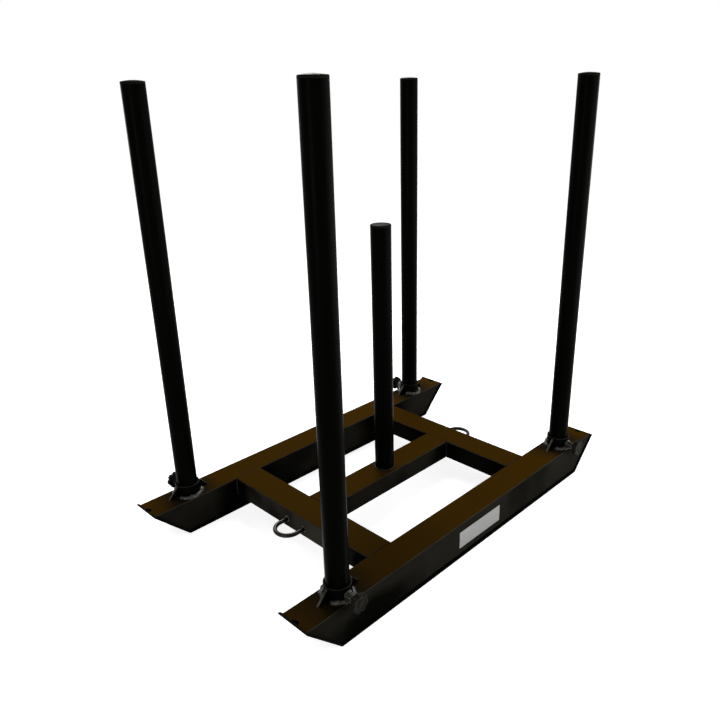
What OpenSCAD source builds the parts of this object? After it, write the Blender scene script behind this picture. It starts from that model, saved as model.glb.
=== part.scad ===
// Push and drag sled: two skid runners joined by two cross members and a centre beam, four lift-out
// push poles clamped in welded sockets, a centre post for weight plates and a tow loop at each end.
// The frame's +X is the right side, +Y the rear and +Z up. The origin is on the floor at the middle.

/* [Runners] */
// Length over the two ends of a runner tube
base_l = 1030; // [900:5:1200]
// Width over the outer sides of the runner tubes
base_w = 610; // [500:5:800]
// Width of a runner tube
runner_w = 75; // [72:1:90]
// Height of a runner tube
runner_h = 80; // [65:1:100]
// Wall of a runner tube
runner_wall = 3; // [2:0.5:4]
// Outer corner radius of every square and rectangular tube
corner_r = 5; // [4.5:0.5:8]
// How far each end of a runner slopes back along its underside
bevel_l = 80; // [50:1:84]
// Radius of the vent notch in the top edge of each runner end
vent_r = 9.5; // [3:0.5:12]

/* [Skid plates] */
// Thickness of a skid plate
skid_t = 4; // [3:0.5:8]
// How far a skid plate stands out past its tube on each side
skid_lip = 5; // [2:0.5:15]
// Inner radius of the two bends in a skid plate
bend_r = 4; // [1:0.5:10]

/* [Cross members and beam] */
// Distance between the centre lines of the two cross members
cross_span = 505; // [400:5:560]
// Width of a cross member
cross_w = 75; // [60:1:90]
// Height of the cross members and of the beam
cross_h = 50; // [30:1:65]
// Width of the centre beam
beam_w = 75; // [60:1:100]
// Wall of the cross members and of the beam
cross_wall = 3; // [2:0.5:4]

/* [Push poles] */
// Outer diameter of a push pole
pole_d = 48.3; // [42:0.1:50]
// Wall of a push pole
pole_wall = 3.2; // [2:0.1:5]
// Length of a push pole's tube
pole_l = 1002; // [600:1:1300]
// Distance from the end of a runner to the axis of its pole
pole_inset = 110; // [108:1:160]

/* [Sockets] */
// Radial gap between a pole and the bore of its socket
pole_gap = 0.85; // [0.3:0.05:1.5]
// Wall of a socket tube
socket_wall = 3.5; // [2.5:0.5:5]
// How far a socket stands above its runner
socket_rise = 30; // [26:1:60]
// Radial gap between a socket and the hole that it passes through in the runner's top
socket_gap = 0.2; // [0.1:0.05:0.5]
// Length of a gusset along the runner
gusset_l = 25; // [10:1:30]
// Height of a gusset
gusset_h = 26; // [10:1:26]
// Thickness of a gusset
gusset_t = 5; // [3:0.5:8]

/* [Clamp screws] */
// Diameter of a clamp screw
screw_d = 10; // [8:0.5:12]
// Width across the flats of a clamp nut
nut_af = 17; // [15:0.5:19]
// Length of a clamp nut outside its socket
nut_l = 15; // [8:0.5:17]
// Height of a clamp nut's lowest corner above the runner
nut_rise = 0.5; // [0.2:0.1:3]
// Radial running clearance of a screw in its nut, its socket and its knob
screw_gap = 0.06; // [0.02:0.01:0.1]
// Gap between the tip of a clamped screw and the pole
tip_gap = 0.2; // [0.1:0.05:1]
// How deep a screw sits in its knob
screw_seat = 12; // [8:0.5:14]

/* [Knobs] */
// Diameter of a knob over its lobes
knob_d = 41; // [34:0.5:50]
// Thickness of a knob's lobed head
knob_t = 12; // [10:0.5:20]
// Distance from the runner's outer side to the hub of a knob
knob_clear = 8.5; // [7:0.5:15]
// Diameter of a knob's hub
hub_d = 19; // [16:0.5:24]
// Length of a knob's hub in front of the head
hub_l = 6; // [2:0.5:10]
// Number of lobes on a knob
lobes = 7; // [5:1:9]
// Radius of the scallops between the lobes
scallop_r = 7; // [4:0.5:8]
// Depth of the scallops between the lobes
scallop_depth = 3; // [1:0.5:4]
// Radius of a knob's rounded edges
knob_edge_r = 2.5; // [1:0.5:4]

/* [Centre post] */
// Outer diameter of the centre post
post_d = 48.3; // [42:0.1:50]
// Wall of the centre post
post_wall = 3.2; // [2:0.1:5]
// Length of the centre post's tube
post_l = 617; // [300:1:900]
// How far the centre post stands behind the middle of the sled
post_y = 8; // [0:1:60]

/* [End caps] */
// Height of an end cap's straight side above its tube
cap_side_h = 0.8; // [0.4:0.1:4]
// Radius of an end cap's rounded shoulder
cap_edge_r = 2.4; // [1:0.2:6]
// Height of an end cap's crown above its shoulder
cap_crown_h = 1.8; // [0.4:0.2:6]
// Length of an end cap's plug inside its tube
cap_plug_l = 18; // [10:1:40]
// Wall of an end cap's plug
cap_wall = 2; // [1:0.5:4]
// Radial gap between an end cap's plug and its tube
cap_gap = 0.1; // [0.05:0.05:0.3]

/* [Tow loops] */
// Diameter of a tow loop's rod
loop_rod_d = 10; // [6:0.5:16]
// Width of a tow loop between the centre lines of its legs
loop_w = 60; // [40:1:100]
// Distance from the cross member to the centre line of the loop's far side
loop_reach = 53; // [50:1:75]

/* [Name plate] */
// Length of the bare name plate
tag_l = 153; // [100:1:200]
// Height of the name plate
tag_h = 42; // [20:1:50]
// Thickness of the name plate
tag_t = 1; // [0.5:0.1:2]
// How far the name plate's middle is behind the middle of the sled
tag_y = 6; // [0:1:60]
// Diameter of a rivet's shank
rivet_d = 3.2; // [2.5:0.1:4]
// Diameter of a rivet's head
rivet_head_d = 6.4; // [5:0.1:8]
// Height of a rivet's head
rivet_head_h = 1.2; // [0.8:0.1:2]
// Length of a rivet past the inside of the tube's wall
rivet_tail = 3; // [1:0.5:6]
// Distance from the name plate's end to a rivet
rivet_inset = 7; // [5:0.5:15]
// Radial gap between a rivet and its holes
rivet_gap = 0.05; // [0.05:0.05:0.2]

/* [Hidden] */

$fn = 96;
// How far a cutting shape runs past what it cuts
past = 10;

// A corner is [side, end]: side 1 is right and -1 left, end -1 is front and 1 rear
FRONT_RIGHT = [1, -1];
FRONT_LEFT = [-1, -1];
REAR_RIGHT = [1, 1];
REAR_LEFT = [-1, 1];

COAT = [0.12, 0.12, 0.11];
PLASTIC = [0.2, 0.2, 0.18];
ZINC = [0.6, 0.6, 0.6];
ALUMINIUM = [0.75, 0.75, 0.76];

// Levels above the floor
deck_z = skid_t + runner_h;
tube_floor_z = skid_t + runner_wall;
cross_z = deck_z - cross_h / 2;
tag_z = skid_t + runner_h / 2;

// Places across and along the sled
runner_x = (base_w - runner_w) / 2;
side_x = base_w / 2;
inner_x = side_x - runner_w;
pole_y = base_l / 2 - pole_inset;
flat_y = base_l / 2 - bevel_l;
cross_y = cross_span / 2;
cross_face_y = cross_y + cross_w / 2;
beam_l = cross_span - cross_w;

// Slope of a runner's ends, how far a bend reaches along each side of its corner, and its straight steps
slope = atan2(runner_h, bevel_l);
bend_reach = bend_r * tan(slope / 2);
bend_steps = 9;

// Straight steps that make up an end cap's shoulder and its crown
shoulder_steps = 6;
crown_steps = 8;

// Sockets and clamp screws
socket_bore_r = pole_d / 2 + pole_gap;
socket_r = socket_bore_r + socket_wall;
socket_top_z = deck_z + socket_rise;
nut_corner_r = nut_af / 2 / cos(30);
screw_z = deck_z + nut_rise + nut_corner_r;
screw_hole_r = screw_d / 2 + screw_gap;
nut_end = socket_r + nut_l;
hub_start = runner_w / 2 + knob_clear;

// Small plane shapes

module rounded_rect(w, h, r) {
    square([w - 2 * r, h], center = true);
    square([w, h - 2 * r], center = true);
    for (i = [-1, 1], j = [-1, 1])
        translate([i * (w / 2 - r), j * (h / 2 - r)]) circle(r);
}

module tube_section(w, h, wall) {
    difference() {
        rounded_rect(w, h, corner_r);
        rounded_rect(w - 2 * wall, h - 2 * wall, corner_r - wall);
    }
}

// A tube along Y, centred on the origin
module tube_along_y(w, h, wall, l) {
    rotate([90, 0, 0]) linear_extrude(l, center = true) tube_section(w, h, wall);
}

// A tube along X, centred on the origin
module tube_along_x(w, h, wall, l) {
    rotate([90, 0, 90]) linear_extrude(l, center = true) tube_section(w, h, wall);
}

module ring(outer_r, inner_r, l) {
    difference() {
        cylinder(h = l, r = outer_r);
        translate([0, 0, -past]) cylinder(h = l + 2 * past, r = inner_r);
    }
}

// Turns a shape that points along +Z to point outwards from a corner's pole axis, at the screw's height
module outwards(corner) {
    translate([corner[0] * runner_x, corner[1] * pole_y, screw_z]) rotate([0, corner[0] * 90, 0]) children();
}

module at_pole(corner) {
    translate([corner[0] * runner_x, corner[1] * pole_y, 0]) children();
}

// Runners and skid plates

// Half of the line at distance d outside the runner's underside, seen from the side: Y across and Z up
function half_line(d) = concat(
    [for (i = [0 : bend_steps]) let (a = i * slope / bend_steps)
        [flat_y - bend_reach + (bend_r + d) * sin(a), skid_t + bend_r - (bend_r + d) * cos(a)]],
    [[base_l / 2 + d / sin(slope), deck_z]]);
function reversed(points) = [for (i = [len(points) - 1 : -1 : 0]) points[i]];
function mirrored(points) = [for (p = reversed(points)) [-p[0], p[1]]];
function side_line(d) = concat(mirrored(half_line(d)), half_line(d));

module runner(side) {
    color(COAT) difference() {
        intersection() {
            translate([side * runner_x, 0, skid_t + runner_h / 2])
                tube_along_y(runner_w, runner_h, runner_wall, base_l);
            rotate([90, 0, 90]) linear_extrude(2 * base_w, center = true) polygon(side_line(0));
        }
        for (end = [-1, 1]) {
            at_pole([side, end]) translate([0, 0, deck_z - runner_wall - past])
                cylinder(h = runner_wall + 2 * past, r = socket_r + socket_gap);
            translate([side * runner_x, end * base_l / 2, deck_z - runner_wall - past])
                cylinder(h = runner_wall + 2 * past, r = vent_r);
        }
        if (side > 0) rivet_holes(side_x - runner_wall - past);
    }
}

// A bent flat bar that wraps the runner's underside and its sloped ends, cut level with the deck
module skid_plate(side) {
    color(COAT) translate([side * runner_x, 0, 0]) rotate([90, 0, 90])
        linear_extrude(runner_w + 2 * skid_lip, center = true)
            polygon(concat(side_line(skid_t), reversed(side_line(0))));
}

// Cross members and beam

module cross_member(end) {
    color(COAT) translate([0, end * cross_y, cross_z])
        tube_along_x(cross_w, cross_h, cross_wall, 2 * inner_x);
}

module centre_beam() {
    color(COAT) translate([0, 0, cross_z]) tube_along_y(beam_w, cross_h, cross_wall, beam_l);
}

// Sockets

module socket(corner) {
    color(COAT) difference() {
        at_pole(corner) translate([0, 0, tube_floor_z])
            ring(socket_r, socket_bore_r, socket_top_z - tube_floor_z);
        outwards(corner) cylinder(h = socket_r + past, r = screw_hole_r);
    }
}

// Two three-cornered plates in line with the runner, one on each side of the socket
module gussets(corner) {
    color(COAT) at_pole(corner) difference() {
        for (end = [-1, 1])
            rotate([90, 0, end * 90]) linear_extrude(gusset_t, center = true)
                polygon([[0, deck_z], [socket_r + gusset_l, deck_z], [socket_r, deck_z + gusset_h],
                    [0, deck_z + gusset_h]]);
        cylinder(h = 2 * deck_z + 2 * gusset_h, r = socket_r);
    }
}

// Clamp screws: a nut welded to the socket, a screw through it and a knob on the screw's end

module clamp_nut(corner) {
    color(COAT) difference() {
        outwards(corner) difference() {
            cylinder(h = nut_end, r = nut_corner_r, $fn = 6);
            cylinder(h = nut_end + past, r = screw_hole_r);
        }
        at_pole(corner) cylinder(h = 2 * socket_top_z, r = socket_r);
    }
}

module clamp_screw(corner) {
    start = pole_d / 2 + tip_gap;
    color(ZINC) outwards(corner) translate([0, 0, start])
        cylinder(h = hub_start + screw_seat - start, d = screw_d);
}

// Half of a knob's section: radius across and distance along the screw up
module knob_section() {
    e = knob_edge_r;
    r = knob_d / 2;
    square([hub_d / 2, hub_l + e]);
    translate([0, hub_l]) {
        square([r - e, knob_t]);
        translate([0, e]) square([r, knob_t - 2 * e]);
        for (z = [e, knob_t - e]) translate([r - e, z]) circle(e);
    }
}

module knob(corner) {
    scallop_at = knob_d / 2 - scallop_depth + scallop_r;
    color(PLASTIC) outwards(corner) translate([0, 0, hub_start]) difference() {
        rotate_extrude() knob_section();
        for (i = [0 : lobes - 1])
            rotate(i * 360 / lobes) translate([scallop_at, 0, hub_l - past])
                cylinder(h = knob_t + 2 * past, r = scallop_r);
        translate([0, 0, -past]) cylinder(h = screw_seat + past, r = screw_hole_r);
    }
}

// Poles, post and end caps

module pole(corner) {
    color(COAT) at_pole(corner) translate([0, 0, tube_floor_z])
        ring(pole_d / 2, pole_d / 2 - pole_wall, pole_l);
}

module centre_post() {
    color(COAT) translate([0, post_y, deck_z]) ring(post_d / 2, post_d / 2 - post_wall, post_l);
}

// Half of a cap's section, from its side round the shoulder and over the crown to the middle
function cap_line(d) = concat(
    [for (i = [0 : shoulder_steps]) let (a = i * 90 / shoulder_steps)
        [d / 2 - cap_edge_r * (1 - cos(a)), cap_side_h + cap_edge_r * sin(a)]],
    [for (i = [1 : crown_steps]) let (part = 1 - i / crown_steps)
        [(d / 2 - cap_edge_r) * part, cap_side_h + cap_edge_r + cap_crown_h * (1 - part * part)]]);

// A cap that stands on a tube of outer diameter d, with a hollow plug inside the tube
module cap(d, wall) {
    plug_r = d / 2 - wall - cap_gap;
    color(PLASTIC) rotate_extrude() {
        polygon(concat([[0, 0], [d / 2, 0]], cap_line(d)));
        translate([plug_r - cap_wall, -cap_plug_l]) square([cap_wall, cap_plug_l]);
    }
}

module pole_cap(corner) {
    at_pole(corner) translate([0, 0, tube_floor_z + pole_l]) cap(pole_d, pole_wall);
}

module post_cap() {
    translate([0, post_y, deck_z + post_l]) cap(post_d, post_wall);
}

// Tow loops

// A round rod bent to a U and welded by its two ends to the middle of the cross member's face
module tow_loop(end) {
    straight = loop_reach - loop_w / 2;
    color(COAT) translate([0, end * cross_face_y, cross_z]) rotate(end > 0 ? 0 : 180) {
        for (x = [-1, 1])
            translate([x * loop_w / 2, 0, 0]) rotate([-90, 0, 0]) cylinder(h = straight, d = loop_rod_d);
        translate([0, straight, 0]) rotate_extrude(angle = 180)
            translate([loop_w / 2, 0]) circle(d = loop_rod_d);
    }
}

// Name plate

// The rivets' holes, from the given X outwards
module rivet_holes(from_x) {
    for (end = [-1, 1])
        translate([from_x, tag_y + end * (tag_l / 2 - rivet_inset), tag_z]) rotate([0, 90, 0])
            cylinder(h = side_x + tag_t + past - from_x, r = rivet_d / 2 + rivet_gap);
}

module name_plate() {
    color(ALUMINIUM) difference() {
        translate([side_x, tag_y - tag_l / 2, tag_z - tag_h / 2]) cube([tag_t, tag_l, tag_h]);
        rivet_holes(side_x - past);
    }
}

module name_plate_rivets() {
    color(ALUMINIUM) for (end = [-1, 1])
        translate([side_x + tag_t, tag_y + end * (tag_l / 2 - rivet_inset), tag_z]) rotate([0, 90, 0]) {
            cylinder(h = rivet_head_h, d = rivet_head_d);
            translate([0, 0, -tag_t - runner_wall - rivet_tail])
                cylinder(h = tag_t + runner_wall + rivet_tail, d = rivet_d);
        }
}

runner(1);  // runner_right
runner(-1);  // runner_left
skid_plate(1);  // skid_plate_right
skid_plate(-1);  // skid_plate_left
cross_member(-1);  // cross_member_front
cross_member(1);  // cross_member_rear
centre_beam();
socket(FRONT_RIGHT);  // socket_front_right
socket(FRONT_LEFT);  // socket_front_left
socket(REAR_RIGHT);  // socket_rear_right
socket(REAR_LEFT);  // socket_rear_left
gussets(FRONT_RIGHT);  // gussets_front_right
gussets(FRONT_LEFT);  // gussets_front_left
gussets(REAR_RIGHT);  // gussets_rear_right
gussets(REAR_LEFT);  // gussets_rear_left
clamp_nut(FRONT_RIGHT);  // clamp_nut_front_right
clamp_nut(FRONT_LEFT);  // clamp_nut_front_left
clamp_nut(REAR_RIGHT);  // clamp_nut_rear_right
clamp_nut(REAR_LEFT);  // clamp_nut_rear_left
clamp_screw(FRONT_RIGHT);  // clamp_screw_front_right
clamp_screw(FRONT_LEFT);  // clamp_screw_front_left
clamp_screw(REAR_RIGHT);  // clamp_screw_rear_right
clamp_screw(REAR_LEFT);  // clamp_screw_rear_left
knob(FRONT_RIGHT);  // knob_front_right
knob(FRONT_LEFT);  // knob_front_left
knob(REAR_RIGHT);  // knob_rear_right
knob(REAR_LEFT);  // knob_rear_left
pole(FRONT_RIGHT);  // pole_front_right
pole(FRONT_LEFT);  // pole_front_left
pole(REAR_RIGHT);  // pole_rear_right
pole(REAR_LEFT);  // pole_rear_left
pole_cap(FRONT_RIGHT);  // pole_cap_front_right
pole_cap(FRONT_LEFT);  // pole_cap_front_left
pole_cap(REAR_RIGHT);  // pole_cap_rear_right
pole_cap(REAR_LEFT);  // pole_cap_rear_left
centre_post();
post_cap();
tow_loop(-1);  // tow_loop_front
tow_loop(1);  // tow_loop_rear
name_plate();
name_plate_rivets();
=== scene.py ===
"""A weight sled for pushing and pulling: black powder-coated steel tube, lift-out poles and a plate post.

Lengths are in metres in the part's own frame: +X is the sled's right, +Y its rear and +Z up.
"""
import math
import random

import bmesh
import bpy
from mathutils import Matrix, Vector


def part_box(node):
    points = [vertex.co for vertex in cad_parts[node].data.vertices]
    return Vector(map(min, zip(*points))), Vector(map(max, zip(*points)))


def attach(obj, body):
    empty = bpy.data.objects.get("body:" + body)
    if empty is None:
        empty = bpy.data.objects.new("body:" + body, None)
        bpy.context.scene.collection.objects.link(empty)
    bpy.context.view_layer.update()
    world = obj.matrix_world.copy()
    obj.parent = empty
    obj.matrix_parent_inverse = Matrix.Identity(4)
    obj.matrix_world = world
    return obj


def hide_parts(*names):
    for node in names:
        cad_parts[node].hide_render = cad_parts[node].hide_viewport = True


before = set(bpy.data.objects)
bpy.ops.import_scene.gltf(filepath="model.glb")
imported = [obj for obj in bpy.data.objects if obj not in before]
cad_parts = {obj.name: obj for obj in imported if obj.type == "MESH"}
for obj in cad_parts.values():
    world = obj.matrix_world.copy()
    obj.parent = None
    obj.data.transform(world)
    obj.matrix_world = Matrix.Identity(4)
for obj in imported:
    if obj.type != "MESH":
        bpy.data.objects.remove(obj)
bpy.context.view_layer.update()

MM = 0.001
# A corner is (side, end): side 1 is right and -1 left, end -1 is front and 1 rear
CORNERS = {"front_right": (1, -1), "front_left": (-1, -1), "rear_right": (1, 1), "rear_left": (-1, 1)}
ENDS = {"front": -1, "rear": 1}

# Sizes that the frame's boxes give

runner_low, runner_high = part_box("runner_right")
runner_x = (runner_low.x + runner_high.x) / 2
inner_x = runner_low.x
side_x = runner_high.x
deck_z = runner_high.z

cross_low, cross_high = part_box("cross_member_rear")
cross_in_y = cross_low.y
cross_out_y = cross_high.y
cross_floor_z = cross_low.z

beam_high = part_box("centre_beam")[1]
beam_half_w = beam_high.x

socket_low, socket_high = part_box("socket_rear_right")
socket_r = (socket_high.x - socket_low.x) / 2
pole_y = (socket_low.y + socket_high.y) / 2

gusset_low, gusset_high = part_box("gussets_rear_right")
gusset_t = gusset_high.x - gusset_low.x

nut_low, nut_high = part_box("clamp_nut_rear_right")
nut_af = nut_high.y - nut_low.y
nut_corner_r = (nut_high.z - nut_low.z) / 2
screw_z = (nut_low.z + nut_high.z) / 2

screw_low, screw_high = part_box("clamp_screw_rear_right")
screw_start = screw_low.x - runner_x
screw_end = screw_high.x - runner_x
screw_r = (screw_high.z - screw_low.z) / 2

knob_low, knob_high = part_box("knob_rear_right")
hub_start = knob_low.x - runner_x
knob_front = knob_high.x - runner_x
knob_r = (knob_high.z - knob_low.z) / 2

post_low, post_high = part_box("centre_post")
post_y = (post_low.y + post_high.y) / 2
post_r = (post_high.x - post_low.x) / 2

loop_low, loop_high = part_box("tow_loop_rear")
loop_rod_r = (loop_high.z - loop_low.z) / 2
loop_leg_x = loop_high.x - loop_rod_r
loop_z = (loop_low.z + loop_high.z) / 2

plate_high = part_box("name_plate")[1]
rivet_low, rivet_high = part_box("name_plate_rivets")


# Camera

# Fitted to the photograph's 720-pixel frame: place in metres, turns in degrees, the rest in pixels
IMAGE = 720
CAMERA_PLACE = Vector((1.09195, -1.12256, 0.99850))
CAMERA_YAW = 44.588
CAMERA_PITCH = -21.519
CAMERA_ROLL = -1.166
FOCAL = 696.34
CENTRE_U = 376.28
CENTRE_V = 359.37
# Width of the camera's sensor in millimetres, and the nearest distance that it sees
SENSOR = 36.0
NEAREST = 0.05


def add_camera():
    yaw = math.radians(CAMERA_YAW)
    pitch = math.radians(CAMERA_PITCH)
    roll = math.radians(CAMERA_ROLL)
    forward = Vector((-math.sin(yaw) * math.cos(pitch), math.cos(yaw) * math.cos(pitch), math.sin(pitch)))
    level = Vector((math.cos(yaw), math.sin(yaw), 0))
    upward = level.cross(forward)
    right = level * math.cos(roll) + upward * math.sin(roll)
    up = upward * math.cos(roll) - level * math.sin(roll)
    data = bpy.data.cameras.new("camera")
    data.sensor_width = SENSOR
    data.lens = FOCAL / IMAGE * SENSOR
    data.shift_x = -(CENTRE_U - IMAGE / 2) / IMAGE
    data.shift_y = (CENTRE_V - IMAGE / 2) / IMAGE
    data.clip_start = NEAREST
    camera = bpy.data.objects.new("camera", data)
    bpy.context.scene.collection.objects.link(camera)
    turn = Matrix((right, up, -forward)).transposed()
    camera.matrix_world = Matrix.Translation(CAMERA_PLACE) @ turn.to_4x4()
    bpy.context.scene.camera = camera


# Materials

WHITE = (1.0, 1.0, 1.0, 1.0)
FLOOR_GREY = (0.8, 0.8, 0.8, 1.0)

# Shades in sRGB, 0 to 255
FRAME_SIDE = (26, 25, 21)
# Painted shade on the inner faces and painted light on the cross members' outer faces
SHADED_INNER_SIDE = (23, 22, 18)
LIT_CROSS_SIDE = (46, 44, 38)
# Painted reflection: the warm shade of upward faces
FRAME_REFLECTION = (51, 33, 2)
# Painted shade: the deck's darker shade towards the front right
DECK_SHADE = (24, 17, 3)
# Painted highlight on the tubes' rounded upper edges
FRAME_HIGHLIGHT = (50, 48, 42)
# Painted shade in the corners between the tubes, also used for dark random patches and the painted dark
# reflection
CORNER_SHADE = (5, 5, 4)
# Painted shade round the poles' feet on the deck
FOOT_SHADE = (20, 18, 12)
POLE_SHADE = (3, 3, 2)
SKID_SHADE = (8, 8, 6)
# Weld beads: a lighter shade, partly a painted highlight over their gloss, and a darker one in the corners,
# painted shade
LIT_WELD_SHADE = (40, 39, 34)
SHADED_WELD_SHADE = (14, 14, 11)
LOOP_SHADE = (8, 8, 6)
# Painted reflection on the tow loops' crests
LOOP_REFLECTION = (44, 30, 6)
# Painted highlights: on the gussets' slopes and tops, the nuts' bevelled edges and the sockets' rims
EDGE_HIGHLIGHT = (105, 102, 92)
RIM_HIGHLIGHT = (42, 41, 36)
KNOB_SHADE = (26, 25, 21)
CAP_SHADE = (19, 18, 14)
ZINC_DARK = (120, 120, 118)
ZINC_LIGHT = (165, 164, 158)
SHEET_DARK = (114, 114, 114)
SHEET_LIGHT = (142, 141, 139)
SHEET_CLOUD = (125, 125, 126)

# Scales of the coats' noise, in waves a metre: for shades, then for bumps
CLOUD = 9.0
PATCH = 5.0
GLINT = 45.0
SPECK = 620.0
PEEL = 1100.0
LUMP = 330.0
PEEL_HEIGHT = 0.2 * MM
PEEL_STRENGTH = 0.35
LUMP_HEIGHT = 1.2 * MM
# Range that nearly all of a noise's values are in, and the narrower one that a mottled shade follows
NOISE_RANGE = (0.3, 0.7)
MOTTLE_RANGE = (0.36, 0.64)
# Noise between which the painted highlight on upper edges goes from its least to full, and how it is
# stretched along the sled
GLINT_RANGE = (0.30, 0.55)
GLINT_LEAST = 0.35
GLINT_STRETCH = (1.0, 0.35, 1.0)
# Upward parts of a normal between which the painted edge highlight and the upward faces' painted reflection
# come in
HIGHLIGHT_RANGE = (0.50, 0.80)
REFLECTION_RANGE = (0.86, 0.95)

# Places of painted shade and painted dark reflection: full shade within the first distance and none beyond
# the second
CORNER_REACH = (30 * MM, 82 * MM)
FOOT_REACH = (44 * MM, 95 * MM)
DARK_REFLECTION_REACH = (18 * MM, 44 * MM)
# How noise moves the edge of a place of painted shade: its scale, and how far
NEARNESS_WOBBLE = (14.0, 12 * MM)
DARK_REFLECTION_WOBBLE = (16.0, 8 * MM)
# Middle of the painted dark reflection on a runner's outer side, and how its lengths are squeezed
DARK_REFLECTION_PLACE = (side_x, -0.335, 0.026)
DARK_REFLECTION_SQUEEZE = (1.0, 0.28, 1.0)
# Noise from which a dark patch fades and where it ends, and its share of the dark shade
PATCH_RANGE = (0.36, 0.48)
PATCH_SHARE = 0.7
# The share of painted shade on the cross members' inward faces
INWARD_SHARE = 0.7
# How far past the runners' inner faces the inside reaches, and from how far within the cross members'
# outer faces a place is outer
INNER_MARGIN = 5 * MM
OUTER_MARGIN = 2 * MM
# Least part of a normal along the sled on a face that counts as endwise
ENDWISE = 0.5
# Where the deck's painted shade starts towards the front right and where it is fullest, as X less Y
DECK_SHADE_RANGE = (0.28, 0.68)
DECK_SHADE_WOBBLE = 0.1
DECK_SHADE_SHARE = 0.55

# Distances from the floor's middle between which its lift grows to full white, and the lift in the middle
FLOOR_RANGE = (0.8, 2.2)
FLOOR_LIFT = 0.8


class Nodes:
    """A material's nodes, added and linked by short calls."""

    def __init__(self, name):
        self.material = bpy.data.materials.new(name)
        self.material.use_nodes = True
        self.tree = self.material.node_tree
        self.shader = self.tree.nodes["Principled BSDF"]

    def add(self, kind, inputs=None, **settings):
        node = self.tree.nodes.new(kind)
        for key, value in settings.items():
            setattr(node, key, value)
        for key, value in (inputs or {}).items():
            if isinstance(value, bpy.types.NodeSocket):
                self.tree.links.new(value, node.inputs[key])
            else:
                node.inputs[key].default_value = value
        return node

    def set(self, **values):
        for key, value in values.items():
            socket = self.shader.inputs[key.replace("_", " ")]
            if isinstance(value, bpy.types.NodeSocket):
                self.tree.links.new(value, socket)
            else:
                socket.default_value = value

    def place(self):
        return self.add("ShaderNodeTexCoord").outputs["Object"]

    def split(self, vector):
        return self.add("ShaderNodeSeparateXYZ", {0: vector}).outputs

    def math(self, operation, *values):
        return self.add("ShaderNodeMath", dict(enumerate(values)), operation=operation).outputs[0]

    def product(self, a, b):
        return self.math("MULTIPLY", a, b)

    def vector(self, operation, *values):
        """A vector sum's outputs: 0 is the vector, "Value" the number."""
        return self.add("ShaderNodeVectorMath", dict(enumerate(values)), operation=operation).outputs

    def noise(self, scale, detail=3.0, roughness=0.5, stretch=None):
        vector = self.place()
        if stretch:
            vector = self.vector("MULTIPLY", vector, stretch)[0]
        inputs = {"Vector": vector, "Scale": scale, "Detail": detail, "Roughness": roughness}
        return self.add("ShaderNodeTexNoise", inputs).outputs["Fac"]

    def spread(self, value, low, high, out_low, out_high):
        inputs = {"Value": value, "From Min": low, "From Max": high, "To Min": out_low, "To Max": out_high}
        return self.add("ShaderNodeMapRange", inputs).outputs["Result"]

    def mix(self, factor, a, b):
        return self.add("ShaderNodeMix", {0: factor, 6: a, 7: b}, data_type="RGBA").outputs[2]

    def mottled(self, value, shade, low, high):
        """A shade that follows a noise value, from low to high times its brightness."""
        dark = rgba(*[v * low for v in shade])
        light = rgba(*[v * high for v in shade])
        return self.mix(self.spread(value, *MOTTLE_RANGE, 0.0, 1.0), dark, light)

    def wobbled(self, away, scale, wobble, full, reach):
        """1 where a distance is within full, 0 beyond reach, with an edge that noise moves."""
        moved = self.math("ADD", away, self.spread(self.noise(scale), *NOISE_RANGE, -wobble, wobble))
        return self.spread(moved, full, reach, 1.0, 0.0)

    def nearness(self, lines, full, reach):
        """1 within full of the nearest upright line, 0 beyond reach. The lines stand at (|x|, |y|)."""
        folded = self.vector("ABSOLUTE", self.place())[0]
        flat = self.vector("MULTIPLY", folded, (1.0, 1.0, 0.0))[0]
        nearest = None
        for x, y in lines:
            away = self.vector("DISTANCE", flat, (x, y, 0.0))["Value"]
            nearest = self.math("MINIMUM", nearest, away) if nearest else away
        return self.wobbled(nearest, *NEARNESS_WOBBLE, full, reach)

    # Mask of a painted dark reflection
    def dark_reflection(self, centre, squeeze, full, reach):
        """1 within full of two mirrored places at (|x|, y, z), 0 beyond reach, in squeezed lengths."""
        at = self.split(self.place())
        folded = self.add("ShaderNodeCombineXYZ", {0: self.math("ABSOLUTE", at[0]), 1: at[1], 2: at[2]})
        flat = self.vector("MULTIPLY", folded.outputs[0], squeeze)[0]
        middle = tuple(c * s for c, s in zip(centre, squeeze))
        away = self.vector("DISTANCE", flat, middle)["Value"]
        return self.wobbled(away, *DARK_REFLECTION_WOBBLE, full, reach)

    def bump(self, heights):
        """Chains bumps: each height comes with its distance and strength."""
        normal = None
        for height, distance, strength in heights:
            inputs = {"Height": height, "Distance": distance, "Strength": strength}
            if normal:
                inputs["Normal"] = normal
            normal = self.add("ShaderNodeBump", inputs).outputs["Normal"]
        self.tree.links.new(normal, self.shader.inputs["Normal"])


def rgba(r, g, b):
    """An sRGB colour, 0 to 255, as the linear colour that a shader takes."""
    linear = []
    for part in (r, g, b):
        s = part / 255
        linear.append(s / 12.92 if s <= 0.04045 else ((s + 0.055) / 1.055) ** 2.4)
    return (*linear, 1.0)


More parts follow.
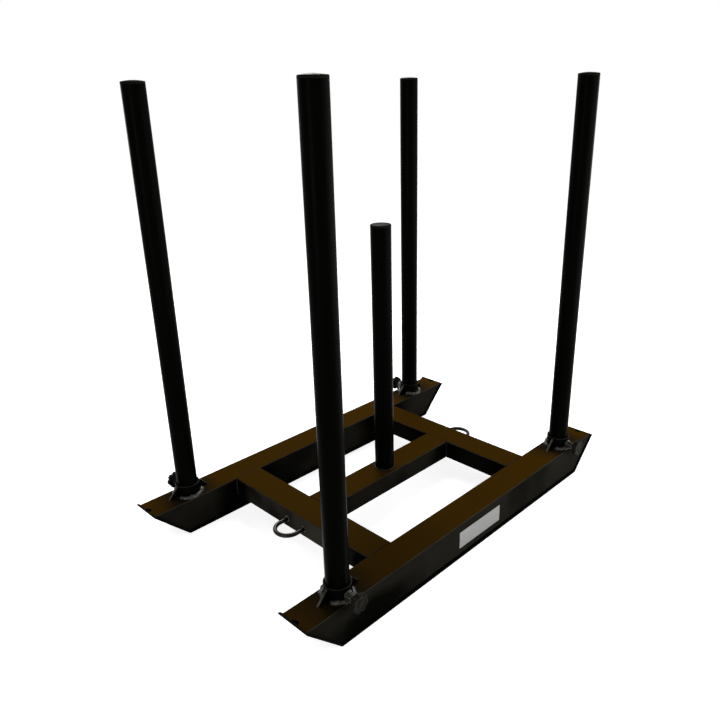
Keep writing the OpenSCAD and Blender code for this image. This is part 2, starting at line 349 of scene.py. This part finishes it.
def painted_side_shading(n, shade, cloud, facing):
    """Painted shade on inward faces and in corners, painted light on outward cross faces, a painted dark
    reflection, darker random patches.
    """
    at = n.split(n.place())
    dark = rgba(*CORNER_SHADE)
    # Painted shade on the runners' inner faces
    inside = n.math("LESS_THAN", n.math("ABSOLUTE", at["X"]), inner_x + INNER_MARGIN)
    shade = n.mix(inside, shade, n.mottled(cloud, SHADED_INNER_SIDE, 0.85, 1.15))
    endwise = n.math("GREATER_THAN", n.math("ABSOLUTE", facing["Y"]), ENDWISE)
    outer = n.math("GREATER_THAN", n.math("ABSOLUTE", at["Y"]), cross_out_y - OUTER_MARGIN)
    # Painted light on the cross members' outer faces
    shade = n.mix(n.product(endwise, outer), shade, n.mottled(cloud, LIT_CROSS_SIDE, 0.85, 1.15))
    # Painted shade on the cross members' inward faces
    inward = n.product(n.product(endwise, inside), n.math("SUBTRACT", 1.0, outer))
    shade = n.mix(n.product(inward, INWARD_SHARE), shade, dark)
    patches = n.spread(n.noise(PATCH, detail=2.0), *PATCH_RANGE, PATCH_SHARE, 0.0)
    shade = n.mix(patches, shade, dark)
    # Painted dark reflection low on the runners' outer sides
    shade = n.mix(n.dark_reflection(DARK_REFLECTION_PLACE, DARK_REFLECTION_SQUEEZE, *DARK_REFLECTION_REACH), shade, dark)
    # Painted shade in the corners between the tubes
    corners = ((inner_x, cross_out_y), (inner_x, cross_in_y), (beam_half_w, cross_in_y))
    return n.mix(n.product(n.nearness(corners, *CORNER_REACH), inside), shade, dark)


def painted_deck_shading(n, above, speck):
    """Painted shade: a greyer ring round each pole's foot, and a deck that darkens towards the front right.
    """
    # Painted shade round each pole's foot, broken up by specks
    grains = n.spread(speck, 0.35, 0.65, 0.5, 1.0)
    near = n.product(n.nearness(((runner_x, pole_y),), *FOOT_REACH), grains)
    above = n.mix(near, above, rgba(*FOOT_SHADE))
    # Painted shade that darkens the deck towards the front right
    at = n.split(n.place())
    forward = n.math("SUBTRACT", at["X"], at["Y"])
    moved = n.math("ADD", forward, n.spread(speck, *NOISE_RANGE, -DECK_SHADE_WOBBLE, DECK_SHADE_WOBBLE))
    return n.mix(n.spread(moved, *DECK_SHADE_RANGE, 0.0, DECK_SHADE_SHARE), above, rgba(*DECK_SHADE))


def coat(name, side, level, top=None, highlight=None, roughness=0.45, lumps=0.0, painted_shading=False):
    """Black powder coat, mottled a little, with a fine orange peel.

    Given a top shade, upward faces have that warmer shade, a painted reflection. Given a highlight shade,
    the tubes' rounded upper edges have that lighter one, a painted highlight. With painted shading, the
    sides have painted shade on inward faces and in the corners between tubes, painted light on outer cross
    faces, a painted dark reflection and darker random patches, and the decks painted shade round the poles'
    feet and towards the front right.
    """
    n = Nodes(name)
    cloud = n.noise(CLOUD, detail=4.0)
    speck = n.noise(SPECK, detail=2.0)
    facing = n.split(n.add("ShaderNodeTexCoord").outputs["Normal"])
    shade = n.mottled(cloud, side, 0.90, 1.10)
    if painted_shading:
        shade = painted_side_shading(n, shade, cloud, facing)
    # Painted highlight on upward-sloping faces such as rounded upper edges, broken up by noise
    if highlight:
        glint = n.spread(n.noise(GLINT, stretch=GLINT_STRETCH), *GLINT_RANGE, GLINT_LEAST, 1.0)
        below = n.spread(facing["Z"], *HIGHLIGHT_RANGE, 0.0, 1.0)
        shade = n.mix(n.product(below, glint), shade, n.mottled(speck, highlight, 0.85, 1.1))
    # Painted reflection: upward faces take the warm top shade
    if top:
        above = n.mottled(speck, top, 0.82, 1.12)
        if painted_shading:
            above = painted_deck_shading(n, above, speck)
        shade = n.mix(n.spread(facing["Z"], *REFLECTION_RANGE, 0.0, 1.0), shade, above)
    n.set(Base_Color=shade)
    n.set(Roughness=n.spread(cloud, *NOISE_RANGE, roughness - 0.05, roughness + 0.05))
    n.set(Specular_IOR_Level=level)
    heights = [(n.noise(PEEL, detail=1.0), PEEL_HEIGHT, PEEL_STRENGTH)]
    if lumps:
        heights.append((n.noise(LUMP, detail=2.0), LUMP_HEIGHT, lumps))
    n.bump(heights)
    return n.material


def plastic(name, shade, level, roughness=0.45):
    """Moulded plastic with a fine spark texture."""
    n = Nodes(name)
    cloud = n.noise(60.0)
    n.set(Base_Color=n.mottled(cloud, shade, 0.92, 1.08), Specular_IOR_Level=level)
    n.set(Roughness=n.spread(cloud, *NOISE_RANGE, roughness - 0.06, roughness + 0.06))
    n.bump([(n.noise(1800.0, detail=1.0), 0.15 * MM, 0.4)])
    return n.material


def plated(name):
    """Zinc-plated steel, a little uneven."""
    n = Nodes(name)
    cloud = n.noise(260.0)
    colour = n.mix(n.spread(cloud, *NOISE_RANGE, 0.0, 1.0), rgba(*ZINC_DARK), rgba(*ZINC_LIGHT))
    n.set(Base_Color=colour, Metallic=1.0, Roughness=n.spread(cloud, *NOISE_RANGE, 0.25, 0.42))
    n.bump([(n.noise(1500.0, detail=2.0), 0.1 * MM, 0.3)])
    return n.material


def brushed(name):
    """Bare sheet, brushed along the sled."""
    n = Nodes(name)
    grain = n.noise(1400.0, detail=4.0, roughness=0.65, stretch=(1.0, 0.012, 1.0))
    cloud = n.noise(26.0)
    fine = n.mix(n.spread(grain, *NOISE_RANGE, 0.0, 1.0), rgba(*SHEET_DARK), rgba(*SHEET_LIGHT))
    colour = n.mix(n.spread(cloud, 0.35, 0.65, 0.0, 0.35), fine, rgba(*SHEET_CLOUD))
    n.set(Base_Color=colour, Metallic=1.0, Roughness=n.spread(grain, *NOISE_RANGE, 0.38, 0.52))
    n.bump([(grain, 0.1 * MM, 0.35)])
    return n.material


def seen_directly(tree):
    """1 for rays from the camera and for those that a gloss or a clear piece sends on, else 0."""
    path = tree.nodes.new("ShaderNodeLightPath")
    seen = path.outputs["Is Camera Ray"]
    for kind in ("Is Glossy Ray", "Is Transmission Ray"):
        either = tree.nodes.new("ShaderNodeMath")
        either.operation = "MAXIMUM"
        tree.links.new(seen, either.inputs[0])
        tree.links.new(path.outputs[kind], either.inputs[1])
        seen = either.outputs[0]
    return seen


def floor_material():
    """A white floor that the camera sees as white, keeping the object's soft shadow."""
    n = Nodes("floor")
    n.set(Base_Color=FLOOR_GREY, Roughness=0.9, Specular_IOR_Level=0.1)
    away = n.vector("LENGTH", n.place())["Value"]
    strength = n.spread(away, *FLOOR_RANGE, FLOOR_LIFT, 1.0)
    lift = n.add("ShaderNodeEmission", {"Color": WHITE, "Strength": strength})
    clear = n.add("ShaderNodeBsdfTransparent")
    glow = n.add("ShaderNodeMixShader", {0: seen_directly(n.tree), 1: clear.outputs[0], 2: lift.outputs[0]})
    both = n.add("ShaderNodeAddShader", {0: n.shader.outputs[0], 1: glow.outputs[0]})
    n.tree.links.new(both.outputs[0], n.tree.nodes["Material Output"].inputs["Surface"])
    return n.material


# Mesh helpers

def new_object(name, mesh, material, body):
    piece = bpy.data.objects.new(name, mesh)
    bpy.context.scene.collection.objects.link(piece)
    mesh.materials.append(material)
    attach(piece, body)
    return piece


def mesh_of(name, rings, looped=False, smooth=True):
    """A skin over rings of points. The ends are closed by a fan, or the last ring meets the first."""
    form = bmesh.new()
    rows = [[form.verts.new(p) for p in ring] for ring in rings]
    count = len(rows[0])
    pairs = list(zip(rows, rows[1:]))
    if looped:
        pairs.append((rows[-1], rows[0]))
    for a, b in pairs:
        for i in range(count):
            j = (i + 1) % count
            form.faces.new((a[i], a[j], b[j], b[i]))
    if not looped:
        for row in (rows[0], rows[-1]):
            middle = form.verts.new(sum((v.co for v in row), Vector()) / count)
            for i in range(count):
                form.faces.new((row[i], row[(i + 1) % count], middle))
    bmesh.ops.recalc_face_normals(form, faces=form.faces)
    mesh = bpy.data.meshes.new(name)
    form.to_mesh(mesh)
    form.free()
    for polygon in mesh.polygons:
        polygon.use_smooth = smooth
    return mesh


def joined_mesh(name, parts):
    """One smooth mesh of several, which are used up."""
    form = bmesh.new()
    for part in parts:
        form.from_mesh(part)
        bpy.data.meshes.remove(part)
    mesh = bpy.data.meshes.new(name)
    form.to_mesh(mesh)
    form.free()
    for polygon in mesh.polygons:
        polygon.use_smooth = True
    return mesh


def turns(count):
    """The angles of a full turn in equal steps, in radians."""
    return [2 * math.pi * i / count for i in range(count)]


def arc(centre, radius, start, end, count, z):
    """Points of a level arc, angles in degrees."""
    points = []
    for i in range(count + 1):
        a = math.radians(start + (end - start) * i / count)
        points.append((centre[0] + radius * math.cos(a), centre[1] + radius * math.sin(a), z))
    return points


def spaced(points, step, looped=False):
    """Points a step apart along a line of straight stretches."""
    line = [Vector(p) for p in points]
    if looped:
        line.append(line[0].copy())
    lengths = [(b - a).length for a, b in zip(line, line[1:])]
    total = sum(lengths)
    count = max(3, round(total / step))
    out = []
    for i in range(count if looped else count + 1):
        left = total * i / count
        for a, b, length in zip(line, line[1:], lengths):
            if left <= length or b is line[-1]:
                out.append(a.lerp(b, min(1.0, left / length)))
                break
            left -= length
    return out


# Weld beads

BEAD_SIDES = 10
BEAD_STEP = 1.1 * MM
# Length of one puddle of a bead, how much its middle stands out, and the part of that taken off all round
PUDDLE = 4.2 * MM
RIPPLE = 0.10
RIPPLE_BASE = 0.6
# An open bead's end, as shares of its radius: what the end starts from, and the length of its taper
END_START = 0.15
END_LENGTH = 1.2
# A direction that no bead runs along
ASKEW = Vector((0.3, 0.2, 1.0))

FOOT_BEAD_R = 6.0 * MM
NUT_BEAD_R = 2.8 * MM
JOINT_BEAD_R = 2.2 * MM
LOOP_BEAD_R = 2.0 * MM
LOOP_CREST_R = 2.8 * MM
POST_BEAD_R = 2.4 * MM
SEAM_R = 1.6 * MM
# How far the small beads stand off the faces that they run along
BEAD_OFF = 0.2 * MM
SEAM_OFF = 0.3 * MM
# How far a bead ends short of the corners that it runs to
JOINT_INSET = 4 * MM
UNDER_INSET = 3 * MM
SEAM_INSET = 2 * MM
# How far a foot's bead is outside its socket and above the deck
FOOT_BEAD_OUT = 2.6 * MM
FOOT_BEAD_UP = 1.6 * MM
# A nut's bead: its steps, and how far it is past the nut's flats, above the nut and off the socket
NUT_STEPS = 24
NUT_PAST = 1.2 * MM
NUT_ABOVE = 0.6 * MM
NUT_OFF = 1.0 * MM


def bead_rings(points, radius, looped, swell, seed):
    """Rings of a weld bead along a line: a ripple for each puddle and a slow random swell."""
    draw = random.Random(seed)
    line = spaced(points, BEAD_STEP, looped)
    count = len(line)
    puddles = max(2, round(count * BEAD_STEP / PUDDLE))
    size = [1.0 + draw.uniform(-swell, swell) for _ in range(puddles)]
    shift = [Vector([draw.uniform(-1, 1) for _ in range(3)]) * radius * swell for _ in range(puddles)]
    rings = []
    for i, at in enumerate(line):
        before = line[i - 1] if i or looped else at
        after = line[(i + 1) % count] if i < count - 1 or looped else at
        along = (after - before).normalized()
        across = along.cross(ASKEW).normalized()
        upward = across.cross(along)
        phase = i / count * puddles
        k = int(phase) % puddles
        following = (k + 1) % puddles if looped else min(k + 1, puddles - 1)
        part = phase - int(phase)
        ease = part * part * (3 - 2 * part)
        ripple = 1.0 + RIPPLE * (abs(math.sin(math.pi * part)) - RIPPLE_BASE)
        taper = 1.0
        if not looped:
            reach = min(i, count - 1 - i) * BEAD_STEP
            taper = math.sqrt(min(1.0, (reach + END_START * radius) / (END_LENGTH * radius)))
        r = radius * (size[k] * (1 - ease) + size[following] * ease) * ripple * taper
        centre = at + shift[k] * (1 - ease) + shift[following] * ease
        ways = [math.cos(a) * across + math.sin(a) * upward for a in turns(BEAD_SIDES)]
        rings.append([centre + r * way for way in ways])
    return rings


def bead(name, material, lines):
    """One piece that holds several beads. A line is (points, radius, looped, swell)."""
    parts = []
    for index, (points, radius, looped, swell) in enumerate(lines):
        rings = bead_rings(points, radius, looped, swell, f"{name} {index}")
        parts.append(mesh_of("part", rings, looped=looped))
    new_object(name, joined_mesh(name, parts), material, "frame")


def weld_corner(material, corner):
    """The beads round one socket's foot and over its nut."""
    side, end = CORNERS[corner]
    centre = (side * runner_x, end * pole_y)
    lines = []
    ring_r = socket_r + FOOT_BEAD_OUT
    ring_z = deck_z + FOOT_BEAD_UP
    gap = math.degrees((gusset_t / 2 + FOOT_BEAD_R) / socket_r)
    for start in (-90, 90):
        points = arc(centre, ring_r, start + gap, start + 180 - gap, 40, ring_z)
        lines.append((points, FOOT_BEAD_R, False, 0.25))
    nut_arch = []
    for i in range(NUT_STEPS + 1):
        part = 2 * i / NUT_STEPS - 1
        y = (nut_af / 2 + NUT_PAST) * part
        z = screw_z + nut_corner_r - (nut_corner_r - nut_af / 4) * abs(part) + NUT_ABOVE
        x = math.sqrt(socket_r ** 2 - y ** 2) + NUT_OFF
        nut_arch.append((centre[0] + side * x, centre[1] + y, z))
    lines.append((nut_arch, NUT_BEAD_R, False, 0.2))
    bead(f"weld_socket_{corner}", material, lines)


def upright(x, y):
    """The line of an upright bead between a cross member's or the beam's lower and upper corners."""
    return [(x, y, cross_floor_z + JOINT_INSET), (x, y, deck_z - JOINT_INSET)]


def weld_cross(material, end_name):
    """The beads where a cross member meets the runners."""
    end = ENDS[end_name]
    lines = []
    under_z = cross_floor_z - SEAM_OFF
    for side in (-1, 1):
        x = side * (inner_x - BEAD_OFF)
        for y in (end * (cross_out_y + BEAD_OFF), end * (cross_in_y - BEAD_OFF)):
            lines.append((upright(x, y), JOINT_BEAD_R, False, 0.25))
        y_range = (end * (cross_in_y + UNDER_INSET), end * (cross_out_y - UNDER_INSET))
        lines.append(([(x, y, under_z) for y in y_range], JOINT_BEAD_R, False, 0.15))
    bead(f"weld_cross_member_{end_name}", material, lines)


def weld_loop(material, end_name):
    """The beads where a tow loop's legs meet their cross member, heavier on top."""
    end = ENDS[end_name]
    lines = []
    ring_r = loop_rod_r + 0.6 * MM
    ring_y = end * (cross_out_y + 0.8 * MM)
    crest_y = end * (cross_out_y + 1.6 * MM)
    crest_z = loop_z + loop_rod_r + 1.2 * MM
    for leg in (-1, 1):
        x = leg * loop_leg_x
        ring = [(x + ring_r * math.cos(a), ring_y, loop_z + ring_r * math.sin(a)) for a in turns(24)]
        lines.append((ring, LOOP_BEAD_R, True, 0.2))
        crest = [(x + dx * MM, crest_y, crest_z) for dx in (-5, 5)]
        lines.append((crest, LOOP_CREST_R, False, 0.2))
    bead(f"weld_tow_loop_{end_name}", material, lines)


def weld_seams(material):
    """The ground-down beads across the tops: at the cross members' and the beam's ends."""
    lines = []
    z = deck_z - 1.2 * MM
    for end in (-1, 1):
        for side in (-1, 1):
            x = side * (inner_x + SEAM_OFF)
            seam = [(x, end * (cross_in_y + SEAM_INSET), z), (x, end * (cross_out_y - SEAM_INSET), z)]
            lines.append((seam, SEAM_R, False, 0.1))
        y = end * (cross_in_y + SEAM_OFF)
        seam = [(-beam_half_w + SEAM_INSET, y, z), (beam_half_w - SEAM_INSET, y, z)]
        lines.append((seam, SEAM_R, False, 0.1))
    bead("weld_seams", material, lines)


def weld_beam(material):
    """The beads at both ends of the centre beam and round the post's foot."""
    lines = []
    for end in (-1, 1):
        y = end * (cross_in_y - BEAD_OFF)
        for side in (-1, 1):
            lines.append((upright(side * (beam_half_w + BEAD_OFF), y), JOINT_BEAD_R, False, 0.2))
    foot = arc((0, post_y), post_r + 0.6 * MM, 0, 350, 48, deck_z + 0.5 * MM)
    lines.append((foot, POST_BEAD_R, True, 0.15))
    bead("weld_centre_beam", material, lines)


# Screws and knobs

THREAD_PITCH = 1.5 * MM
THREAD_DEPTH = 0.92 * MM
THREAD_SIDES = 32
# Steps along one turn of the thread
THREAD_STEPS = 8
# Steepness of the thread's flanks, and what its flat crest takes off them
FLANK = 1.25
CREST = 0.2
# Length of a screw's cone point, and how much of its radius the point takes off
POINT = 1.6 * MM
POINT_SHARE = 0.35

KNOB_SIDES = 140
KNOB_LOBES = 7
SCALLOP_DEPTH = 3.0 * MM
# Half of the angle that a scallop takes up, in degrees
SCALLOP_HALF = 18.5
# How far each knob is turned at rest, in degrees
KNOB_TURN = {"front_right": 12.0, "front_left": 8.0, "rear_right": 30.0, "rear_left": 0.0}
KNOB_HUB = 6.0 * MM
KNOB_HUB_R = 9.5 * MM
HUB_EASE = 0.6 * MM
HUB_FLARE = 0.8 * MM
BORE_GAP = 0.1 * MM
# Radius of the head's rounded edges, and the flat ring between them and the dished face
KNOB_EDGE = 2.6 * MM
KNOB_RING = 1.4 * MM
# The face's rim: its width and depth, and then the dish inwards as shares of the face's radius and depths
RIM_WIDTH = 0.8 * MM
RIM_DEPTH = 0.9 * MM
DISH = ((0.62, 1.2 * MM), (0.58, 0.6 * MM), (0.3, 0.2 * MM), (0.1, 0.15 * MM))
# Steps round a quarter of a rounded edge
EDGE_STEPS = 5


def along_screw(corner, t, r, angle):
    """The point at distance t out from the pole's axis, and at a radius and an angle round the screw."""
    side, end = CORNERS[corner]
    return (side * (runner_x + t), end * pole_y + r * math.cos(angle), screw_z + r * math.sin(angle))


def thread(corner, material):
    """A clamp screw with its thread cut, from a cone point to the end inside the knob."""
    length = screw_end - screw_start
    count = round(length / THREAD_PITCH * THREAD_STEPS)
    rings = []
    for k in range(count + 1):
        t = length * k / count
        point = max(0.0, 1.0 - t / POINT)
        ring = []
        for i, angle in enumerate(turns(THREAD_SIDES)):
            phase = (t / THREAD_PITCH - i / THREAD_SIDES) % 1.0
            groove = max(0.0, abs(phase * 2 - 1) * FLANK - CREST)
            r = screw_r - THREAD_DEPTH * min(1.0, groove)
            r = min(r, screw_r * (1 - POINT_SHARE * point))
            ring.append(along_screw(corner, screw_start + t, r, angle))
        rings.append(ring)
    mesh = mesh_of(f"thread_{corner}", rings, smooth=False)
    piece = new_object(f"thread_{corner}", mesh, material, f"screw_{corner}")
    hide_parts(f"clamp_screw_{corner}")


def lobed(angle, radius):
    """The knob's outer radius at an angle in degrees: round scallops between the lobes."""
    pitch = 360 / KNOB_LOBES
    away = abs((angle + pitch / 2) % pitch - pitch / 2)
    dip = 0.5 * (1 + math.cos(math.pi * min(1.0, away / SCALLOP_HALF)))
    return radius - SCALLOP_DEPTH * dip


def knob_stations():
    """The knob's skin from the bottom of its bore to the middle of its face.

    Each station is (share of the lobed outline, added radius, distance from the hub's end).
    """
    thick = knob_front - hub_start
    bore = screw_r + BORE_GAP
    depth = screw_end - hub_start
    rows = [(0, 0.3 * bore, depth), (0, bore, depth), (0, bore, 0.0)]
    rows += [(0, KNOB_HUB_R - HUB_EASE, 0.0), (0, KNOB_HUB_R, HUB_EASE)]
    rows += [(0, KNOB_HUB_R, KNOB_HUB - HUB_FLARE), (0, KNOB_HUB_R + HUB_FLARE, KNOB_HUB)]
    quarter = [math.radians(90 * i / EDGE_STEPS) for i in range(EDGE_STEPS + 1)]
    for a in quarter:
        rows.append((1, -KNOB_EDGE * (1 - math.sin(a)), KNOB_HUB + KNOB_EDGE * (1 - math.cos(a))))
    for a in quarter:
        rows.append((1, -KNOB_EDGE * (1 - math.cos(a)), thick - KNOB_EDGE * (1 - math.sin(a))))
    face_r = knob_r - SCALLOP_DEPTH - KNOB_EDGE - KNOB_RING
    rows += [(0, face_r, thick), (0, face_r - RIM_WIDTH, thick - RIM_DEPTH)]
    rows += [(0, share * face_r, thick - down) for share, down in DISH]
    return rows


def knob(corner, material):
    rings = []
    for share, added, t in knob_stations():
        ring = []
        for i, angle in enumerate(turns(KNOB_SIDES)):
            r = added + share * lobed(360 * i / KNOB_SIDES - KNOB_TURN[corner], knob_r)
            ring.append(along_screw(corner, hub_start + t, r, angle))
        rings.append(ring)
    mesh = mesh_of(f"knob_skin_{corner}", rings)
    piece = new_object(f"knob_skin_{corner}", mesh, material, f"knob_{corner}")
    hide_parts(f"knob_{corner}")


# End caps

CAP_SIDES = 64
# Heights of a cap's straight side, its rounded shoulder and its crown
CAP_SIDE = 3.2 * MM
CAP_SHOULDER = 2.0 * MM
CAP_CROWN = 2.2 * MM
CROWN_STEPS = 10
# How far a cap's plug is inside its side, and the plug's wall
CAP_STEP = 3.3 * MM
CAP_WALL = 2.0 * MM
# Size of the small bevel where a cap meets its tube
CAP_EASE = 0.3 * MM


def cap(node, tube, body, material):
    """A domed cap that sits on a tube's end, with its hollow plug inside the tube."""
    low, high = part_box(node)
    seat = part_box(tube)[1].z
    centre_x = (low.x + high.x) / 2
    centre_y = (low.y + high.y) / 2
    outer_r = (high.x - low.x) / 2
    plug_r = outer_r - CAP_STEP
    hollow_r = plug_r - CAP_WALL
    outline = [(0.1 * hollow_r, seat), (hollow_r, seat), (hollow_r, low.z), (plug_r, low.z), (plug_r, seat)]
    outline += [(outer_r - CAP_EASE, seat), (outer_r, seat + CAP_EASE)]
    for angle in range(0, 91, 15):
        a = math.radians(angle)
        inset = CAP_SHOULDER * (1 - math.cos(a))
        outline.append((outer_r - inset, seat + CAP_SIDE + CAP_SHOULDER * math.sin(a)))
    for i in range(1, CROWN_STEPS):
        part = 1 - i / CROWN_STEPS
        rise = CAP_SIDE + CAP_SHOULDER + CAP_CROWN * (1 - part * part)
        outline.append(((outer_r - CAP_SHOULDER) * part, seat + rise))
    rings = []
    for r, z in outline:
        ring = [(centre_x + r * math.cos(a), centre_y + r * math.sin(a), z) for a in turns(CAP_SIDES)]
        rings.append(ring)
    mesh = mesh_of(f"{node}_skin", rings)
    piece = new_object(f"{node}_skin", mesh, material, body)
    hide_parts(node)


# Rivets

RIVET_SIDES = 28
SHANK_R = 1.6 * MM


def rivets(material):
    """Domed rivet heads over the name plate's ends, with their shanks."""
    head_r = (rivet_high.z - rivet_low.z) / 2
    middle_z = (rivet_low.z + rivet_high.z) / 2
    head_x = plate_high.x
    rise = rivet_high.x - head_x
    outline = [(0.3 * SHANK_R, rivet_low.x), (SHANK_R, rivet_low.x), (SHANK_R, head_x), (head_r, head_x)]
    for angle in range(12, 84, 12):
        a = math.radians(angle)
        outline.append((head_r * math.cos(a), head_x + rise * math.sin(a)))
    parts = []
    for y in (rivet_low.y + head_r, rivet_high.y - head_r):
        rings = []
        for r, x in outline:
            rings.append([(x, y + r * math.cos(a), middle_z + r * math.sin(a)) for a in turns(RIVET_SIDES)])
        parts.append(mesh_of("part", rings))
    mesh = joined_mesh("plate_rivets", parts)
    piece = new_object("plate_rivets", mesh, material, "frame")
    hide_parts("name_plate_rivets")


# Dressing of the nodes that keep their own shape

# Vertices closer than this are one before an edge is rounded
SAME_PLACE = 0.01 * MM
# Faces that meet at more than this many degrees have their edge rounded
SHARP = 40
SKID_BEVEL = 0.6 * MM
RIM_BEVEL = 0.8 * MM


def dress(node, material, bevel=0.0, edge_material=None):
    """Gives a node its material, and with bevel rounded edges, which can have a material of their own."""
    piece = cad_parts[node]
    piece.data.materials.clear()
    piece.data.materials.append(material)
    if edge_material:
        piece.data.materials.append(edge_material)
    if bevel:
        join = piece.modifiers.new("join", "WELD")
        join.merge_threshold = SAME_PLACE
        edge = piece.modifiers.new("edges", "BEVEL")
        edge.width = bevel
        edge.segments = 2
        edge.limit_method = "ANGLE"
        edge.angle_limit = math.radians(SHARP)
        edge.material = 1 if edge_material else -1


def dress_all():
    for node in ("runner_right", "runner_left", "cross_member_front", "cross_member_rear", "centre_beam"):
        dress(node, tube_coat)
    for node in ("skid_plate_right", "skid_plate_left"):
        dress(node, skid_coat, SKID_BEVEL)
    for corner in CORNERS:
        dress(f"socket_{corner}", pole_coat, RIM_BEVEL, rim_highlight_coat)
        dress(f"gussets_{corner}", gusset_coat)
        dress(f"clamp_nut_{corner}", lit_weld_coat, RIM_BEVEL, edge_highlight_coat)
        dress(f"pole_{corner}", pole_coat)
    dress("centre_post", pole_coat)
    for end_name in ENDS:
        dress(f"tow_loop_{end_name}", loop_coat)
    dress("name_plate", sheet)


# Floor, world and lamps

FLOOR_R = 6.0
FLOOR_SIDES = 96
WORLD_LEVEL = 0.14
# Where the lamps point: the sled's middle, the middle of the poles' lower half, and the frame
MIDDLE = (0.0, 0.0, 0.35)
POLES = (0.0, 0.0, 0.45)
LOW = (0.0, 0.0, 0.1)


def add_floor():
    bpy.ops.mesh.primitive_circle_add(vertices=FLOOR_SIDES, radius=FLOOR_R, fill_type="NGON")
    floor = bpy.context.active_object
    floor.name = "floor"
    floor.data.materials.append(floor_material())


def add_world():
    """A world that is white to the camera and in glosses, and lights the sled at its own level."""
    world = bpy.data.worlds.new("studio")
    bpy.context.scene.world = world
    world.use_nodes = True
    tree = world.node_tree
    tree.nodes.clear()
    blend = tree.nodes.new("ShaderNodeMixShader")
    tree.links.new(seen_directly(tree), blend.inputs[0])
    for socket, level in ((1, WORLD_LEVEL), (2, 1.0)):
        light = tree.nodes.new("ShaderNodeBackground")
        light.inputs["Color"].default_value = WHITE
        light.inputs["Strength"].default_value = level
        tree.links.new(light.outputs[0], blend.inputs[socket])
    output = tree.nodes.new("ShaderNodeOutputWorld")
    tree.links.new(blend.outputs[0], output.inputs["Surface"])


def add_lamp(name, place, target, size, power, seen=True):
    data = bpy.data.lights.new(name, "AREA")
    data.shape = "RECTANGLE"
    data.size, data.size_y = size
    data.energy = power
    lamp = bpy.data.objects.new(name, data)
    bpy.context.scene.collection.objects.link(lamp)
    lamp.location = place
    lamp.rotation_euler = (Vector(target) - Vector(place)).to_track_quat("-Z", "Y").to_euler()
    lamp.visible_camera = seen


def add_lamps():
    add_lamp("top", (-1.2, 1.1, 1.9), MIDDLE, (1.2, 1.2), 54, seen=False)
    add_lamp("right", (1.5, 0.75, 0.55), POLES, (1.2, 1.1), 20, seen=False)
    add_lamp("behind", (0.85, 1.85, 0.55), POLES, (0.9, 1.1), 10, seen=False)
    add_lamp("left", (-2.6, -0.4, 1.4), MIDDLE, (0.5, 1.8), 20)
    add_lamp("front", (0.7, -2.4, 0.7), LOW, (0.8, 0.8), 16, seen=False)


# The scene

add_camera()
view = bpy.context.scene.view_settings
view.view_transform = "Standard"

# Tube coat: painted reflection on tops, painted highlight on upper edges, painted light and shade on the
# sides
tube_coat = coat("tube_coat", FRAME_SIDE, 0.001, top=FRAME_REFLECTION, highlight=FRAME_HIGHLIGHT, painted_shading=True)
skid_coat = coat("skid_coat", SKID_SHADE, 0.005)
pole_coat = coat("pole_coat", POLE_SHADE, 0.006, roughness=0.3)
# Tow loop coat, with a painted reflection on its crests
loop_coat = coat("loop_coat", LOOP_SHADE, 0.12, top=LOOP_REFLECTION, roughness=0.18)
# Glossy weld coat whose lighter shade is partly a painted highlight
lit_weld_coat = coat("lit_weld_coat", LIT_WELD_SHADE, 0.25, roughness=0.3, lumps=0.5)
# The gussets' sloping edges and tops have a painted highlight
gusset_coat = coat("gusset_coat", POLE_SHADE, 0.006, highlight=EDGE_HIGHLIGHT, roughness=0.3)
# Painted highlight on the sockets' rim bevels
rim_highlight_coat = coat("rim_highlight_coat", RIM_HIGHLIGHT, 0.02)
# Weld beads in the corners, darker with painted shade
dull_weld = coat("dull_weld", SHADED_WELD_SHADE, 0.08, lumps=0.6)
# Painted highlight on the nuts' bevelled edges
edge_highlight_coat = coat("edge_highlight_coat", EDGE_HIGHLIGHT, 0.1)
knob_plastic = plastic("knob_plastic", KNOB_SHADE, 0.015)
cap_plastic = plastic("cap_plastic", CAP_SHADE, 0.004, roughness=0.4)
zinc = plated("zinc")
sheet = brushed("sheet")

dress_all()
for corner in CORNERS:
    weld_corner(lit_weld_coat, corner)
    thread(corner, zinc)
    knob(corner, knob_plastic)
    cap(f"pole_cap_{corner}", f"pole_{corner}", f"pole_{corner}", cap_plastic)
cap("post_cap", "centre_post", "frame", cap_plastic)
for end_name in ENDS:
    weld_cross(dull_weld, end_name)
    weld_loop(lit_weld_coat, end_name)
weld_beam(dull_weld)
weld_seams(tube_coat)
rivets(sheet)

add_floor()
add_world()
add_lamps()
